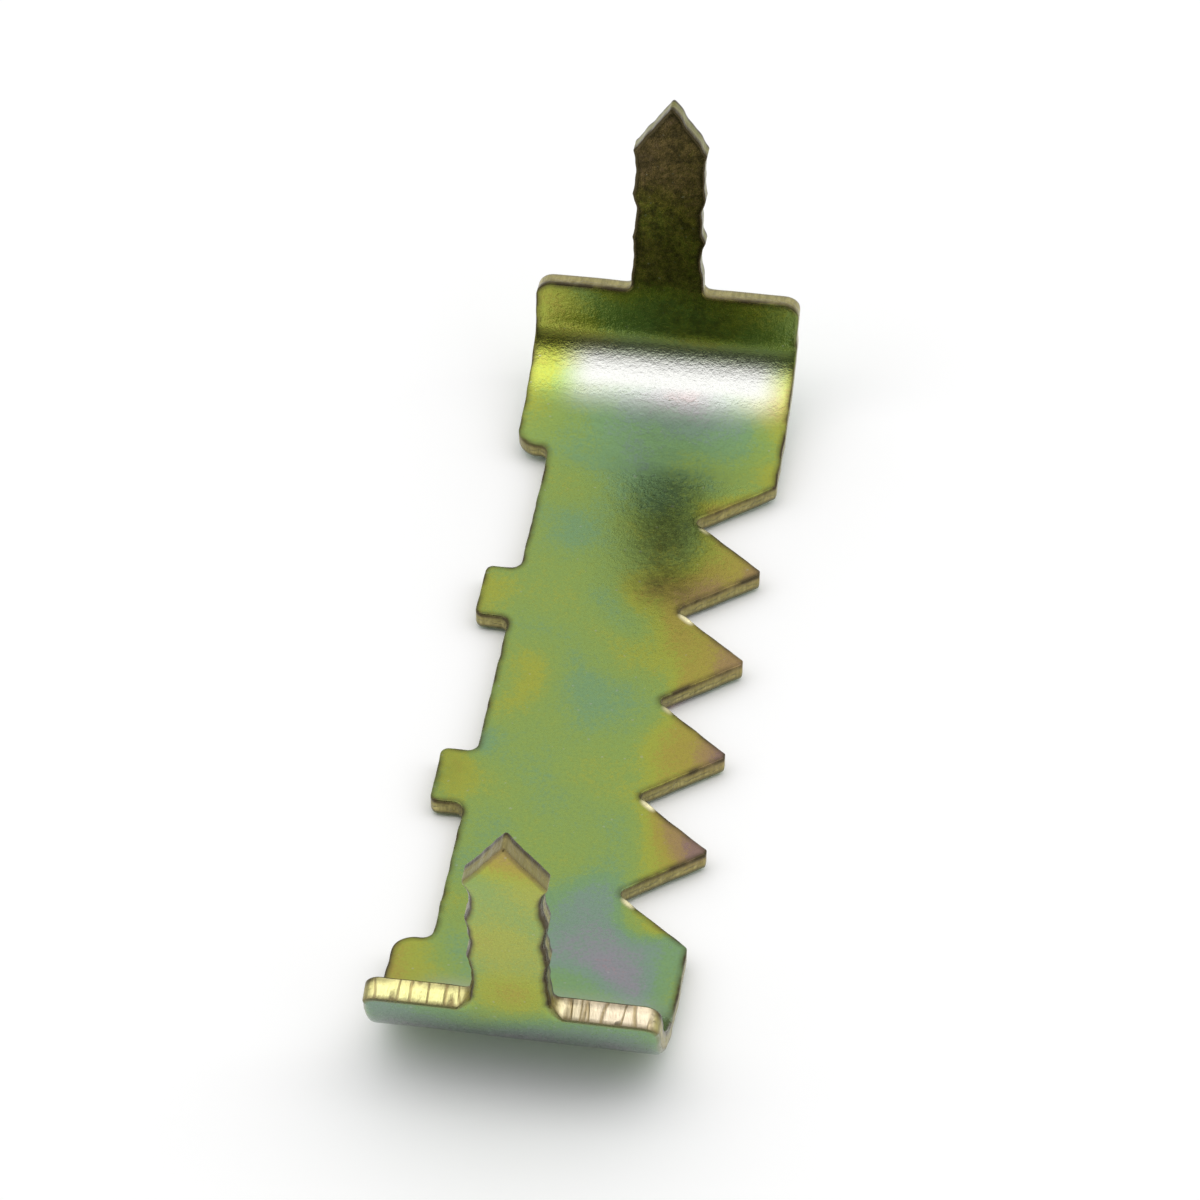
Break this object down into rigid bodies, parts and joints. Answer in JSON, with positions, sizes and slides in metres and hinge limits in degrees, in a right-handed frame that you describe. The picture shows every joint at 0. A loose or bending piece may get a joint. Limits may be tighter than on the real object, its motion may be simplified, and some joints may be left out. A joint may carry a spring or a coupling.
{
  "type": "sawtooth picture hanger",
  "caption": "Nail-free sawtooth picture hanger: a flat stamped steel strip with a toothed hanging edge, back tabs and curled ends that carry barbed spikes to drive into a frame.",
  "frame": {"origin": "on the front face, midway between the curled ends and midway across the strip", "axes": "+Z along the spikes, away from the front face; +X towards the toothed edge; +Y along the strip"},
  "size_m": [0.01, 0.0376, 0.0127],
  "materials": {
    "zinc_plate": "yellow-passivated zinc plating, satin, with soft patches of olive, gold, teal, pink and violet-grey"
  },
  "bodies": {
    "root": {"hanger": "zinc_plate"}
  },
  "joints": []
}
